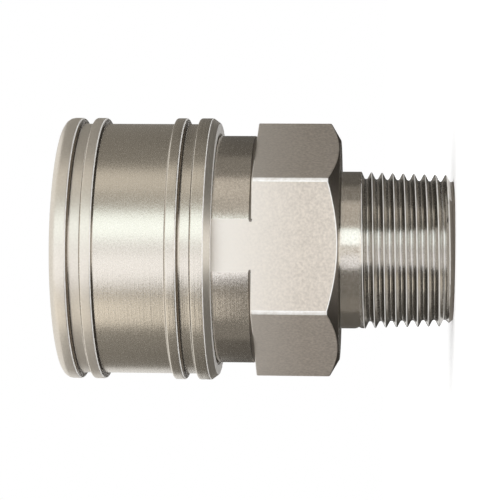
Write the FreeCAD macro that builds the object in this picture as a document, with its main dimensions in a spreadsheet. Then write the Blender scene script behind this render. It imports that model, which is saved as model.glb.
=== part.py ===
import FreeCAD
import Part
import Sketcher
import os

# Quick coupling socket, a straight-through ball-lock coupling half in stainless steel, in millimetres.
# The socket stands on the end of its taper thread with the mouth up. The axis is +Z and the origin is the
# centre of the thread's end face. The one-piece body is turned from hexagon bar: thread, neck, hexagon, the
# guide that the sleeve runs on, and the ball carrier. The sleeve slides down towards the hexagon against the
# spring, which lets the balls move out of the mouth.

# Driving dimensions: alias, size in millimetres (or a count, a ratio or degrees), and what it measures.
DIMENSIONS = [
    ("thread_length", 15.7, "taper thread, from its end face to the neck"),
    ("thread_gauge_diameter", 26.441, "3/4 taper pipe thread, major diameter at the gauge plane"),
    ("thread_gauge_length", 9.5, "gauge plane, from the end face"),
    ("thread_taper", 16, "taper, one in this much on the diameter"),
    ("thread_pitch", 1.814, "thread pitch, 14 to the inch"),
    ("thread_depth_ratio", 0.64, "depth of the 55 degree thread form, as a share of the pitch"),
    ("neck_length", 3.55, "plain neck between thread and hexagon"),
    ("neck_step", 0.05, "radial step from the thread's crests up to the neck"),
    ("hexagon_length", 14.25, "wrench hexagon, along the axis"),
    ("hexagon_flats", 38.0, "wrench hexagon, across flats"),
    ("hexagon_edges", 43.44, "wrench hexagon, across its blunted edges"),
    ("hexagon_chamfer_inset", 0.2, "chamfer's circle on the hexagon's end face, inside the flats"),
    ("hexagon_chamfer_angle", 30.0, "chamfer, degrees from the end face"),
    ("flow_bore", 17.0, "straight bore through the thread"),
    ("flow_bore_chamfer", 0.6, "chamfer at the bore's lower end"),
    ("plug_nose_bore", 22.1, "bore that takes the plug's nose"),
    ("plug_nose_guide", 4.4, "that bore's wall below the O-ring groove"),
    ("mouth_bore", 28.2, "mouth that takes the plug's collar"),
    ("mouth_floor_web", 2.5, "wall below the ball holes, down to the mouth's floor"),
    ("mouth_chamfer", 1.0, "lead-in chamfer of the mouth"),
    ("bore_chamfer", 0.4, "lead-in chamfer of the nose bore"),
    ("seal_section", 2.4, "O-ring cord diameter"),
    ("seal_proud", 0.2, "how far the O-ring stands into the nose bore"),
    ("seal_clearance", 0.02, "gap between the O-ring and its groove floor"),
    ("seal_side_room", 0.4, "room for the O-ring to spread, on each side of its groove"),
    ("seal_depth", 2.4, "nose bore's wall above the O-ring groove"),
    ("ball_count", 12, "locking balls"),
    ("ball_diameter", 4.7625, "locking ball, 3/16 inch"),
    ("ball_proud", 1.16, "how far a ball stands into the mouth at rest"),
    ("ball_play", 0.3, "gap between a ball at rest and the sleeve's land"),
    ("ball_clearance", 0.05, "gap between a ball and its hole"),
    ("ball_recess", 0.09, "how far a released ball sits behind the mouth's wall"),
    ("release_clearance", 0.1, "gap between a released ball and the sleeve's recess"),
    ("slide_clearance", 0.05, "radial running clearance of the sleeve on the body"),
    ("land_cover", 0.9, "sleeve's land above the balls' plane"),
    ("land_back", 2.8, "sleeve's land below the balls' plane"),
    ("spring_wire", 1.6, "spring wire diameter"),
    ("spring_length", 12.9, "spring's length at rest"),
    ("spring_working_turns", 1, "turns that work"),
    ("spring_closed_turns", 1, "closed turns at each end"),
    ("spring_closed_gap", 0.1, "gap between the wires of a closed turn"),
    ("spring_side_clearance", 0.275, "radial gap on each side of the spring"),
    ("spring_end_clearance", 0.05, "gap at each end of the spring"),
    ("spring_undercut", 0.55, "radial step below the ball carrier that the spring stands in"),
    ("guide_length", 10.0, "hexagon's upper face to the spring's seat"),
    ("guide_relief_depth", 0.1, "relief groove at the guide's foot, radially"),
    ("guide_relief_width", 0.3, "floor of that groove, along the axis"),
    ("ring_web", 0.65, "wall between the ball holes and the stop ring's groove"),
    ("ring_thickness", 1.2, "stop ring, along the axis"),
    ("ring_side_clearance", 0.05, "gap on each flat side of the stop ring"),
    ("ring_groove_depth", 0.8, "stop ring's groove in the ball carrier"),
    ("ring_floor_clearance", 0.1, "gap between the stop ring and its groove floor"),
    ("ring_catch", 0.55, "how far the stop ring reaches over the sleeve's shoulder"),
    ("ring_gap_angle", 16.0, "open gap of the stop ring, degrees"),
    ("ring_clearance", 0.35, "gap between the stop ring and the sleeve's counterbore"),
    ("nose_web", 1.2, "wall above the stop ring's groove, to the nose"),
    ("nose_chamfer", 0.5, "outer chamfer of the nose"),
    ("sleeve_overhang", 1.52, "sleeve's front face beyond the nose"),
    ("sleeve_skirt", 3.5, "sleeve's rear end below the spring's seat"),
    ("sleeve_wall", 1.95, "sleeve's wall around the guide"),
    ("sleeve_rear_chamfer_length", 1.15, "chamfer behind the rearmost rib, along the axis"),
    ("sleeve_rear_chamfer_height", 0.85, "the same chamfer, radially"),
    ("sleeve_bore_chamfer", 0.4, "chamfers at both ends of the sleeve's bore"),
    ("sleeve_front_round", 1.4, "round on the sleeve's front rim"),
    ("rib_height", 1.0, "grip ribs above the sleeve"),
    ("rib_width", 1.9, "inner rib of each pair"),
    ("rib_gap", 2.2, "groove between the ribs of a pair"),
    ("front_rib_width", 2.9, "foremost rib, to the front face"),
    ("rear_rib_width", 3.3, "rearmost rib, with its chamfer"),
    ("rib_edge", 0.2, "chamfer on the ribs' edges"),
]

# Derived places and radii: alias and formula. Heights are measured up from the thread's end face.
DERIVED = [
    ("hexagon_foot", "dims.thread_length + dims.neck_length"),
    ("guide_foot", "hexagon_foot + dims.hexagon_length"),
    ("spring_seat", "guide_foot + dims.guide_length"),
    ("land_foot", "spring_seat + dims.spring_length + 2 * dims.spring_end_clearance"),
    ("ball_plane", "land_foot + dims.land_back"),
    ("land_top", "ball_plane + dims.land_cover"),
    ("ball_hole_radius", "dims.ball_diameter / 2 + dims.ball_clearance"),
    ("ring_groove_foot", "ball_plane + ball_hole_radius + dims.ring_web"),
    ("ring_foot", "ring_groove_foot + dims.ring_side_clearance"),
    ("ring_groove_top", "ring_foot + dims.ring_thickness + dims.ring_side_clearance"),
    ("nose_top", "ring_groove_top + dims.nose_web"),
    ("mouth_floor", "ball_plane - ball_hole_radius - dims.mouth_floor_web"),
    ("seal_groove_top", "mouth_floor - dims.seal_depth"),
    ("seal_plane", "seal_groove_top - dims.seal_side_room - dims.seal_section / 2"),
    ("seal_groove_foot", "seal_plane - dims.seal_section / 2 - dims.seal_side_room"),
    ("nose_bore_floor", "seal_groove_foot - dims.plug_nose_guide"),
    ("sleeve_front", "nose_top + dims.sleeve_overhang"),
    ("sleeve_rear", "spring_seat - dims.sleeve_skirt"),
    ("sleeve_shoulder", "ring_foot - dims.ring_side_clearance"),
    ("thread_foot_radius",
     "(dims.thread_gauge_diameter - dims.thread_gauge_length / dims.thread_taper) / 2"),
    ("thread_top_radius", "thread_foot_radius + dims.thread_length / dims.thread_taper / 2"),
    ("thread_depth", "dims.thread_depth_ratio * dims.thread_pitch"),
    ("neck_radius", "thread_top_radius + dims.neck_step"),
    ("hexagon_corner_radius", "dims.hexagon_flats / sqrt(3)"),
    ("hexagon_chamfer_radius", "dims.hexagon_flats / 2 - dims.hexagon_chamfer_inset"),
    ("hexagon_edge_radius", "dims.hexagon_edges / 2"),
    ("hexagon_chamfer_height",
     "(hexagon_edge_radius - hexagon_chamfer_radius) * tan(dims.hexagon_chamfer_angle * 1 deg)"),
    ("nose_bore_radius", "dims.plug_nose_bore / 2"),
    ("flow_radius", "dims.flow_bore / 2"),
    ("mouth_radius", "dims.mouth_bore / 2"),
    ("seal_groove_radius", "nose_bore_radius - dims.seal_proud + dims.seal_section + dims.seal_clearance"),
    ("seal_circle", "nose_bore_radius - dims.seal_proud + dims.seal_section / 2"),
    ("ball_circle", "mouth_radius - dims.ball_proud + dims.ball_diameter / 2"),
    ("ball_travel", "dims.ball_proud + dims.ball_recess"),
    ("ball_lip_radius",
     "sqrt(dims.ball_diameter * dims.ball_proud - dims.ball_proud ^ 2) + dims.ball_clearance"),
    ("ball_seat_slope",
     "(dims.ball_diameter / 2 - dims.ball_proud) / (ball_lip_radius - dims.ball_clearance)"),
    ("land_radius", "ball_circle + dims.ball_diameter / 2 + dims.ball_play"),
    ("carrier_radius", "land_radius - dims.slide_clearance"),
    ("release_radius", "ball_circle + dims.ball_diameter / 2 + ball_travel + dims.release_clearance"),
    ("release_foot", "land_top + release_radius - land_radius"),
    ("spring_seat_radius", "carrier_radius - dims.spring_undercut"),
    ("undercut_top", "land_foot - dims.slide_clearance"),
    ("spring_circle", "spring_seat_radius + dims.spring_side_clearance + dims.spring_wire / 2"),
    ("sleeve_bore_radius", "spring_circle + dims.spring_wire / 2 + dims.spring_side_clearance"),
    ("guide_radius", "sleeve_bore_radius - dims.slide_clearance"),
    ("sleeve_radius", "sleeve_bore_radius + dims.sleeve_wall"),
    ("rib_radius", "sleeve_radius + dims.rib_height"),
    ("ring_inner_radius", "carrier_radius - dims.ring_groove_depth + dims.ring_floor_clearance"),
    ("ring_outer_radius", "release_radius + dims.ring_catch"),
    ("counterbore_radius", "ring_outer_radius + dims.ring_clearance"),
    ("spring_foot", "spring_seat + dims.spring_end_clearance + dims.spring_wire / 2"),
    ("spring_top", "spring_foot + dims.spring_length - dims.spring_wire"),
    ("spring_closed_pitch", "dims.spring_wire + dims.spring_closed_gap"),
    ("spring_closed_height", "spring_closed_pitch * dims.spring_closed_turns"),
    ("spring_working_foot", "spring_foot + spring_closed_height"),
    ("spring_working_top", "spring_top - spring_closed_height"),
    ("spring_working_pitch", "(spring_working_top - spring_working_foot) / dims.spring_working_turns"),
]

# Sketch codes: the points of a line or circle, the two axes, and the origin as a geometry and its point.
FULL_TURN = "360"
POINT = {"start": 1, "end": 2, "centre": 3}
AXIS = {"horizontal": -1, "vertical": -2}
ORIGIN = (-1, 1)

doc = FreeCAD.newDocument("quick_coupling_socket")


# The two sheets: driving dimensions as plain numbers, and the places worked out from them.
def fill_dimensions():
    sheet = doc.addObject("Spreadsheet::Sheet", "dims")
    for row, (alias, value, meaning) in enumerate(DIMENSIONS, start=1):
        sheet.set(f"A{row}", meaning)
        sheet.set(f"B{row}", str(value))
        sheet.setAlias(f"B{row}", alias)
    return sheet


def fill_places():
    sheet = doc.addObject("Spreadsheet::Sheet", "places")
    for row, (alias, formula) in enumerate(DERIVED, start=1):
        sheet.set(f"A{row}", alias.replace("_", " "))
        sheet.set(f"B{row}", "=" + formula)
        sheet.setAlias(f"B{row}", alias)
    return sheet


dims = fill_dimensions()
places = fill_places()
doc.recompute()


# Helpers that draw sketches whose every corner follows the sheets.
def value_of(expression):
    return float(dims.evalExpression(expression))


def origin_plane(body, role):
    return next(feature for feature in body.Origin.OriginFeatures if feature.Role == role)


def new_sketch(body, name, role, lift="0"):
    sketch = body.newObject("Sketcher::SketchObject", name)
    sketch.AttachmentSupport = [(origin_plane(body, role), "")]
    sketch.MapMode = "FlatFace"
    sketch.setExpression("AttachmentOffset.Base.y", lift)
    return sketch


def hold_point(sketch, geometry, point, across, up):
    for kind, axis, expression in (
        ("DistanceX", AXIS["vertical"], across),
        ("DistanceY", AXIS["horizontal"], up),
    ):
        if expression == "0":
            sketch.addConstraint(Sketcher.Constraint("PointOnObject", geometry, point, axis))
            continue
        index = sketch.addConstraint(
            Sketcher.Constraint(kind, *ORIGIN, geometry, point, value_of(expression))
        )
        sketch.setExpression(f"Constraints[{index}]", expression)


def draw_outline(sketch, corners):
    points = [FreeCAD.Vector(value_of(across), value_of(up), 0) for across, up in corners]
    first = sketch.GeometryCount
    for start, end in zip(points, points[1:] + points[:1]):
        sketch.addGeometry(Part.LineSegment(start, end), False)
    for offset, (across, up) in enumerate(corners):
        line = first + offset
        following = first + (offset + 1) % len(corners)
        sketch.addConstraint(
            Sketcher.Constraint("Coincident", line, POINT["end"], following, POINT["start"])
        )
        hold_point(sketch, line, POINT["start"], across, up)


def draw_circle(sketch, across, up, radius):
    centre = FreeCAD.Vector(value_of(across), value_of(up), 0)
    circle = sketch.addGeometry(Part.Circle(centre, FreeCAD.Vector(0, 0, 1), value_of(radius)), False)
    index = sketch.addConstraint(Sketcher.Constraint("Radius", circle, value_of(radius)))
    sketch.setExpression(f"Constraints[{index}]", radius)
    hold_point(sketch, circle, POINT["centre"], across, up)


def revolve(body, name, sketch, angle=FULL_TURN):
    revolution = body.newObject("PartDesign::Revolution", name)
    revolution.Profile = sketch
    revolution.ReferenceAxis = (sketch, ["V_Axis"])
    revolution.setExpression("Angle", angle)
    return revolution


# One-piece body: turned profile, flats on hexagon and guide, ball holes.
def turned_profile():
    """Half section of the turned bar: up the outside from the end face, then down the stepped bore."""
    outside = [
        ("places.thread_foot_radius - places.thread_depth", "0"),
        ("places.thread_foot_radius", "places.thread_depth"),
        ("places.thread_top_radius", "dims.thread_length"),
        ("places.neck_radius", "dims.thread_length"),
        ("places.neck_radius", "places.hexagon_foot"),
        ("places.hexagon_chamfer_radius", "places.hexagon_foot"),
        ("places.hexagon_edge_radius", "places.hexagon_foot + places.hexagon_chamfer_height"),
        ("places.hexagon_edge_radius", "places.guide_foot"),
        ("places.guide_radius - dims.guide_relief_depth", "places.guide_foot"),
        ("places.guide_radius - dims.guide_relief_depth", "places.guide_foot + dims.guide_relief_width"),
        ("places.guide_radius", "places.guide_foot + dims.guide_relief_width + dims.guide_relief_depth"),
        ("places.guide_radius", "places.spring_seat"),
        ("places.spring_seat_radius", "places.spring_seat"),
        ("places.spring_seat_radius", "places.undercut_top - dims.spring_undercut"),
        ("places.carrier_radius", "places.undercut_top"),
    ]
    nose = [
        ("places.carrier_radius", "places.ring_groove_foot"),
        ("places.carrier_radius - dims.ring_groove_depth", "places.ring_groove_foot"),
        ("places.carrier_radius - dims.ring_groove_depth", "places.ring_groove_top"),
        ("places.carrier_radius", "places.ring_groove_top"),
        ("places.carrier_radius", "places.nose_top - dims.nose_chamfer"),
        ("places.carrier_radius - dims.nose_chamfer", "places.nose_top"),
        ("places.mouth_radius + dims.mouth_chamfer", "places.nose_top"),
        ("places.mouth_radius", "places.nose_top - dims.mouth_chamfer"),
        ("places.mouth_radius", "places.mouth_floor"),
    ]
    bore = [
        ("places.nose_bore_radius + dims.bore_chamfer", "places.mouth_floor"),
        ("places.nose_bore_radius", "places.mouth_floor - dims.bore_chamfer"),
        ("places.nose_bore_radius", "places.seal_groove_top"),
        ("places.seal_groove_radius", "places.seal_groove_top"),
        ("places.seal_groove_radius", "places.seal_groove_foot"),
        ("places.nose_bore_radius", "places.seal_groove_foot"),
        ("places.nose_bore_radius", "places.nose_bore_floor"),
        ("places.flow_radius", "places.nose_bore_floor - (places.nose_bore_radius - places.flow_radius)"),
        ("places.flow_radius", "dims.flow_bore_chamfer"),
        ("places.flow_radius + dims.flow_bore_chamfer", "0"),
    ]
    return outside + nose + bore


def cut_upwards(body, name, sketch, height):
    pocket = body.newObject("PartDesign::Pocket", name)
    pocket.Profile = sketch
    pocket.Reversed = True
    pocket.setExpression("Length", height)
    doc.recompute()


def cut_hexagon(body):
    """Trims the turned bar to the hexagon bar's six flats, up to the guide's foot."""
    sketch = new_sketch(body, "hexagon_bar", "XY_Plane")
    half_flats = "dims.hexagon_flats / 2"
    corner = "places.hexagon_corner_radius"
    draw_outline(
        sketch,
        [
            (corner, "0"),
            (f"{corner} / 2", half_flats),
            (f"-{corner} / 2", half_flats),
            (f"-{corner}", "0"),
            (f"-{corner} / 2", f"-{half_flats}"),
            (f"{corner} / 2", f"-{half_flats}"),
        ],
    )
    draw_circle(sketch, "0", "0", "2 * places.hexagon_corner_radius + places.guide_radius")
    cut_upwards(body, "hexagon_flats", sketch, "places.guide_foot")


def cut_guide_flats(body):
    """Carries two opposite flats of the hexagon on up the guide."""
    sketch = new_sketch(body, "guide_flats_section", "XY_Plane")
    half_flats = "dims.hexagon_flats / 2"
    half_width = "places.guide_radius"
    for side in ("", "-"):
        draw_outline(
            sketch,
            [
                (half_width, f"{side}{half_flats}"),
                (half_width, f"{side}{half_flats} * 2"),
                (f"-{half_width}", f"{side}{half_flats} * 2"),
                (f"-{half_width}", f"{side}{half_flats}"),
            ],
        )
    cut_upwards(body, "guide_flats", sketch, "places.spring_seat")


def cut_ball_holes(body):
    """One radial hole with a conical seat that keeps its ball from dropping through, then all of them."""
    sketch = new_sketch(body, "ball_hole_section", "XZ_Plane", "places.ball_plane")
    inner_end = "places.mouth_radius - places.ball_lip_radius / 2"
    seat_top = (
        "places.mouth_radius + (places.ball_hole_radius - places.ball_lip_radius) / places.ball_seat_slope"
    )
    outer_end = "places.carrier_radius + dims.ball_diameter"
    draw_outline(
        sketch,
        [
            (inner_end, "0"),
            (inner_end, "places.ball_lip_radius * (1 - places.ball_seat_slope / 2)"),
            (seat_top, "places.ball_hole_radius"),
            (outer_end, "places.ball_hole_radius"),
            (outer_end, "0"),
        ],
    )
    hole = body.newObject("PartDesign::Groove", "ball_hole")
    hole.Profile = sketch
    hole.ReferenceAxis = (sketch, ["H_Axis"])
    hole.setExpression("Angle", FULL_TURN)
    doc.recompute()
    ring = body.newObject("PartDesign::PolarPattern", "ball_holes")
    ring.Originals = [hole]
    ring.Axis = (origin_plane(body, "Z_Axis"), [""])
    ring.setExpression("Angle", FULL_TURN)
    ring.setExpression("Occurrences", "dims.ball_count")
    body.Tip = ring


def make_socket_body():
    body = doc.addObject("PartDesign::Body", "socket_body")
    sketch = new_sketch(body, "turned_section", "XZ_Plane")
    draw_outline(sketch, turned_profile())
    revolve(body, "turned_bar", sketch)
    doc.recompute()
    cut_hexagon(body)
    cut_guide_flats(body)
    cut_ball_holes(body)
    return body


# Release sleeve: ribbed outside, and a stepped bore of counterbore, release recess, land and spring bore.
def rib_corners(foot, top):
    """Four corners of one grip rib between two heights, with its edges broken."""
    return [
        ("places.sleeve_radius", foot),
        ("places.rib_radius - dims.rib_edge", foot),
        ("places.rib_radius", f"{foot} + dims.rib_edge"),
        ("places.rib_radius", f"{top} - dims.rib_edge"),
        ("places.rib_radius - dims.rib_edge", top),
        ("places.sleeve_radius", top),
    ]


def make_sleeve():
    body = doc.addObject("PartDesign::Body", "sleeve")
    sketch = new_sketch(body, "sleeve_section", "XZ_Plane")
    rear_rib_top = "places.sleeve_rear + dims.rear_rib_width"
    rear_inner_foot = f"{rear_rib_top} + dims.rib_gap"
    front_rib_foot = "places.sleeve_front - dims.front_rib_width"
    front_inner_top = f"{front_rib_foot} - dims.rib_gap"
    bore = [
        ("places.counterbore_radius + dims.sleeve_bore_chamfer", "places.sleeve_front"),
        ("places.counterbore_radius", "places.sleeve_front - dims.sleeve_bore_chamfer"),
        ("places.counterbore_radius", "places.sleeve_shoulder"),
        ("places.release_radius", "places.sleeve_shoulder"),
        ("places.release_radius", "places.release_foot"),
        ("places.land_radius", "places.land_top"),
        ("places.land_radius", "places.land_foot"),
        ("places.sleeve_bore_radius", "places.land_foot"),
        ("places.sleeve_bore_radius", "places.sleeve_rear + dims.sleeve_bore_chamfer"),
        ("places.sleeve_bore_radius + dims.sleeve_bore_chamfer", "places.sleeve_rear"),
    ]
    rear_rib = [
        ("places.rib_radius - dims.sleeve_rear_chamfer_height", "places.sleeve_rear"),
        ("places.rib_radius", "places.sleeve_rear + dims.sleeve_rear_chamfer_length"),
        ("places.rib_radius", f"{rear_rib_top} - dims.rib_edge"),
        ("places.rib_radius - dims.rib_edge", rear_rib_top),
        ("places.sleeve_radius", rear_rib_top),
    ]
    inner_ribs = rib_corners(rear_inner_foot, f"{rear_inner_foot} + dims.rib_width")
    inner_ribs += rib_corners(f"{front_inner_top} - dims.rib_width", front_inner_top)
    front_rib = [
        ("places.sleeve_radius", front_rib_foot),
        ("places.rib_radius - dims.rib_edge", front_rib_foot),
        ("places.rib_radius", f"{front_rib_foot} + dims.rib_edge"),
        ("places.rib_radius", "places.sleeve_front"),
    ]
    draw_outline(sketch, bore + rear_rib + inner_ribs + front_rib)
    turned = revolve(body, "sleeve_turned", sketch)
    doc.recompute()
    rim = body.newObject("PartDesign::Fillet", "front_rim_round")
    rim.Base = (turned, [rim_edge_name(turned.Shape)])
    rim.setExpression("Radius", "dims.sleeve_front_round")
    return body


def rim_edge_name(shape):
    """The circle where the sleeve's front face meets the foremost rib."""
    height, radius = value_of("places.sleeve_front"), value_of("places.rib_radius")
    for number, edge in enumerate(shape.Edges, start=1):
        if not hasattr(edge.Curve, "Radius"):
            continue
        if abs(edge.Curve.Radius - radius) < 1e-6 and abs(edge.Curve.Center.z - height) < 1e-6:
            return f"Edge{number}"
    raise RuntimeError("the sleeve has no front rim")


# Sleeve spring: a closed turn, the working turn and another closed turn of one wire.
def wind_coil(body, name, foot, pitch, turns):
    sketch = new_sketch(body, name + "_wire", "XZ_Plane")
    draw_circle(sketch, "places.spring_circle", foot, "dims.spring_wire / 2")
    coil = body.newObject("PartDesign::AdditiveHelix", name)
    coil.Profile = sketch
    coil.ReferenceAxis = (sketch, ["V_Axis"])
    coil.Mode = "pitch-turns-angle"
    coil.setExpression("Pitch", pitch)
    coil.setExpression("Turns", turns)
    coil.Angle = 0
    doc.recompute()


def make_spring():
    body = doc.addObject("PartDesign::Body", "sleeve_spring")
    closed = ("places.spring_closed_pitch", "dims.spring_closed_turns")
    working = ("places.spring_working_pitch", "dims.spring_working_turns")
    wind_coil(body, "lower_closed_coil", "places.spring_foot", *closed)
    wind_coil(body, "working_coil", "places.spring_working_foot", *working)
    wind_coil(body, "upper_closed_coil", "places.spring_working_top", *closed)
    return body


# Stop ring: a flat open ring in the carrier's groove, which holds the sleeve on.
def make_stop_ring():
    body = doc.addObject("PartDesign::Body", "stop_ring")
    sketch = new_sketch(body, "ring_section", "XZ_Plane")
    top = "places.ring_foot + dims.ring_thickness"
    draw_outline(
        sketch,
        [
            ("places.ring_inner_radius", "places.ring_foot"),
            ("places.ring_outer_radius", "places.ring_foot"),
            ("places.ring_outer_radius", top),
            ("places.ring_inner_radius", top),
        ],
    )
    revolve(body, "open_ring", sketch, "360 - dims.ring_gap_angle")
    return body


# Plug seal: an O-ring in the nose bore.
def make_seal():
    seal = doc.addObject("Part::Torus", "plug_seal")
    seal.setExpression("Radius1", "places.seal_circle")
    seal.setExpression("Radius2", "dims.seal_section / 2")
    seal.setExpression("Placement.Base.z", "places.seal_plane")
    return seal


# Locking balls: a ring of balls, each in its own hole.
def make_balls():
    balls = []
    for index in range(round(value_of("dims.ball_count"))):
        ball = doc.addObject("Part::Sphere", f"locking_ball_{index + 1:02d}")
        bearing = f"{index} * 360 deg / dims.ball_count"
        ball.setExpression("Radius", "dims.ball_diameter / 2")
        ball.setExpression("Placement.Base.x", f"places.ball_circle * cos({bearing})")
        ball.setExpression("Placement.Base.y", f"places.ball_circle * sin({bearing})")
        ball.setExpression("Placement.Base.z", "places.ball_plane")
        balls.append(ball)
    return balls


def check_and_export(parts):
    doc.recompute()
    failed = [item.Label for item in doc.Objects if {"Invalid", "Error"} & set(item.State)]
    if failed:
        raise RuntimeError(f"these objects failed: {failed}")
    for part in parts:
        if part.Shape.isNull() or not part.Shape.isValid() or len(part.Shape.Solids) != 1:
            raise RuntimeError(f"{part.Label} is not one sound solid")
    os.makedirs("parts", exist_ok=True)
    for part in parts:
        part.Shape.exportStep(os.path.join("parts", part.Label + ".step"))
        print(part.Label, "volume", round(part.Shape.Volume, 1))


turned_pieces = [make_socket_body(), make_sleeve()]
small_pieces = [make_spring(), make_stop_ring(), make_seal()]
check_and_export(turned_pieces + small_pieces + make_balls())
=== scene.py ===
# %% [markdown]
# # A quick coupling socket in satin stainless steel
# The object is one half of a ball-lock coupling for a fluid line. Its body is turned from hexagon bar,
# with a taper pipe thread at one end and a mouth for the plug at the other, and a ribbed sleeve slides on
# it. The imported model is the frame: it says where every piece is and which pieces move. The lesson only
# dresses it.

# %% Load the frame
import math

import bmesh
import bpy
from mathutils import Matrix, Vector


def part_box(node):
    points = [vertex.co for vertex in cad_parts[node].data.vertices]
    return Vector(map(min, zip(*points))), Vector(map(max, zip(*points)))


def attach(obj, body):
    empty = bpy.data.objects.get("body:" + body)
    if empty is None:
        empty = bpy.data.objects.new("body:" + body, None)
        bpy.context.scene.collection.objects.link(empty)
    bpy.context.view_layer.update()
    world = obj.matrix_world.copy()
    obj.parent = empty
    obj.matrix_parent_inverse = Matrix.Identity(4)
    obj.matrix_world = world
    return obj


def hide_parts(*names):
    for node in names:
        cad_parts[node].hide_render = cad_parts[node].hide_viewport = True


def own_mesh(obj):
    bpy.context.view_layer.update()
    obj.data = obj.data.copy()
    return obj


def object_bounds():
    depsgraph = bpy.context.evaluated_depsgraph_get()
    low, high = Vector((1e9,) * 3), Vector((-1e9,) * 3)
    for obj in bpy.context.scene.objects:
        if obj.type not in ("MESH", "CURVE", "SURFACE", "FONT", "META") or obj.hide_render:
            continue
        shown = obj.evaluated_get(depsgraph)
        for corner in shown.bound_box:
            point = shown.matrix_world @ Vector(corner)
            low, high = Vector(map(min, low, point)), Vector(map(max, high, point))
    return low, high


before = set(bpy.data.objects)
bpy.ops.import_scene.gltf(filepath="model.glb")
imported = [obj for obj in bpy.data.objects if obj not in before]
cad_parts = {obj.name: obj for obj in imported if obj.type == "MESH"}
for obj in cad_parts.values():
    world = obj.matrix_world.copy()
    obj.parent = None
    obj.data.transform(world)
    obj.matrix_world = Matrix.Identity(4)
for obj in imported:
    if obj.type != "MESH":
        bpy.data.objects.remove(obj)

MM = 0.001
cad_box = [list(corner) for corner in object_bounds()]
cad_size = [round((high - low) / MM, 2) for low, high in zip(*cad_box)]
print("frame:", len(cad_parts), "nodes, millimetres over all", cad_size)

# %% [markdown]
# ## The viewpoint
# The photograph looks square at the side of the socket, with the mouth to the left and the thread to the
# right. In the frame the socket stands on its thread with the axis upright, so the camera is rolled a
# quarter turn: up in the picture is +X, and left is +Z. The rims show as ellipses that open towards the
# thread, so the camera stands low, near the thread's end, with a long lens. A shift of the lens could do
# the same, but it would follow the camera into every other view, so the camera is placed and aimed
# instead.

# %% Camera
AXIS_DISTANCE = 353 * MM
CAMERA_HEIGHT = 11.5 * MM
SWING = math.radians(-1.7)
AIM = Vector((-0.13, 0, 34.86)) * MM
ROLL = math.radians(0.57)
# Focal length and sensor width in millimetres, as Blender counts them.
LENS, SENSOR = 147.7, 36.0


def aim(thing, place, target, up):
    """Puts a camera or lamp at a place, looking at a target, with its own up near the given one."""
    forward = (target - place).normalized()
    right = forward.cross(up).normalized()
    turn = Matrix((right, right.cross(forward), -forward)).transposed()
    thing.matrix_world = Matrix.Translation(place) @ turn.to_4x4()


camera = bpy.data.objects.new("photo_camera", bpy.data.cameras.new("photo_camera"))
bpy.context.scene.collection.objects.link(camera)
camera.data.lens, camera.data.sensor_width = LENS, SENSOR
stand = Vector((math.sin(SWING), -math.cos(SWING), 0)) * AXIS_DISTANCE + Vector((0, 0, CAMERA_HEIGHT))
aim(camera, stand, AIM, Vector((math.cos(ROLL), 0, math.sin(ROLL))))
bpy.context.scene.camera = camera
print("camera stands", [round(value / MM, 1) for value in stand], "mm from the origin")

# %% [markdown]
# ## Colours and nodes
# Every finish below is a small tree of nodes. One function turns a colour picked as an sRGB hex value
# into the linear values that shaders work in, and one adds a node with its settings and links, so that
# each finish reads as a list of what feeds what. The trees could be built by hand in the shader editor,
# but written down they can be read, compared and changed.

# %% Helpers for finishes
def srgb(code):
    """Linear RGBA of an sRGB hex colour."""
    channels = [int(code[start:start + 2], 16) / 255 for start in (0, 2, 4)]
    return (*(c / 12.92 if c <= 0.04045 else ((c + 0.055) / 1.055) ** 2.4 for c in channels), 1.0)


def add_node(tree, kind, settings=None, links=None):
    """Adds a node. Settings are input values or properties, and links are outputs that feed its inputs."""
    node = tree.nodes.new(kind)
    for key, value in (settings or {}).items():
        if isinstance(key, str) and hasattr(node, key):
            setattr(node, key, value)
        else:
            node.inputs[key].default_value = value
    for key, source in (links or {}).items():
        tree.links.new(source, node.inputs[key])
    return node


def new_finish(name, settings):
    """A material with a principled shader whose constant sockets are set."""
    material = bpy.data.materials.new(name)
    material.use_nodes = True
    shader = material.node_tree.nodes["Principled BSDF"]
    for socket, value in settings.items():
        shader.inputs[socket].default_value = value
    return material, material.node_tree, shader


print("white is", [round(c, 3) for c in srgb("ffffff")])

# %% [markdown]
# ## Turned stainless steel
# Body and sleeve are turned from stainless bar and then tumbled, which leaves a soft satin sheen. Two
# things make it look turned and not painted. The tool leaves fine rings round the axis, and the tumbling
# leaves a faint grain. The rings could be a wave along the height, but that would leave the end faces
# smooth. A noise that only knows the radius and the height gives rings on walls and faces alike. The neck
# and the guide that the sleeve runs on are cut last, by a sharp tool that shears the metal cleanly. They
# are smoother, and mirror the studio in crisper bands. The front ribs and the rear chamfer are rubbed by
# hands. Fine scratches scatter part of the light there, so that finish is duller, and a small share of it
# is diffuse.

# %% Turned stainless finishes
# A fine cut feeds about 0.1 mm a turn, and the marks of tumbling are finer still.
# Both are drawn coarser, to show.
FEED_MARK = 0.22 * MM
SATIN_GRAIN = 0.34 * MM


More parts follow.
